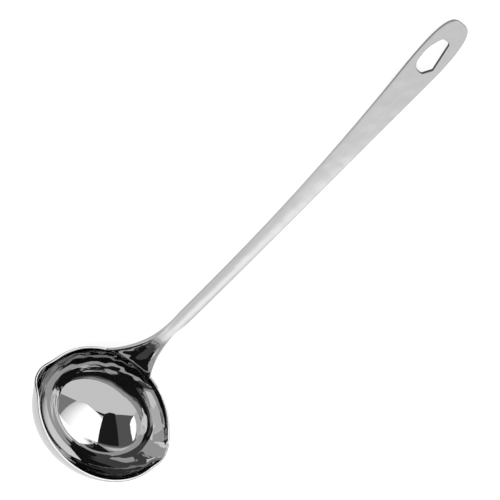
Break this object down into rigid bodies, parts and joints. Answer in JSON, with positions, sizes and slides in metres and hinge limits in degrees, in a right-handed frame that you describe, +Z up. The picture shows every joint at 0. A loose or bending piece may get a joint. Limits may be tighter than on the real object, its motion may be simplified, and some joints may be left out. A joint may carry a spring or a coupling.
{
  "type": "ladle",
  "caption": "Small sauce ladle pressed from one sheet of steel, with a deep oval bowl, a pouring lip on each side and a long handle with a hanging hole in its widened end.",
  "frame": {"origin": "centre of the bounding box on the table, as the ladle lies at rest", "axes": "+X from the bowl to the end of the handle, +Y to the left as seen from the handle's end with the bowl ahead and below, +Z up from the table"},
  "size_m": [0.3238, 0.0896, 0.0635],
  "materials": {
    "steel": "mirror polished bowl and neck, satin brushed handle"
  },
  "bodies": {
    "root": {"ladle": "steel"}
  },
  "joints": []
}
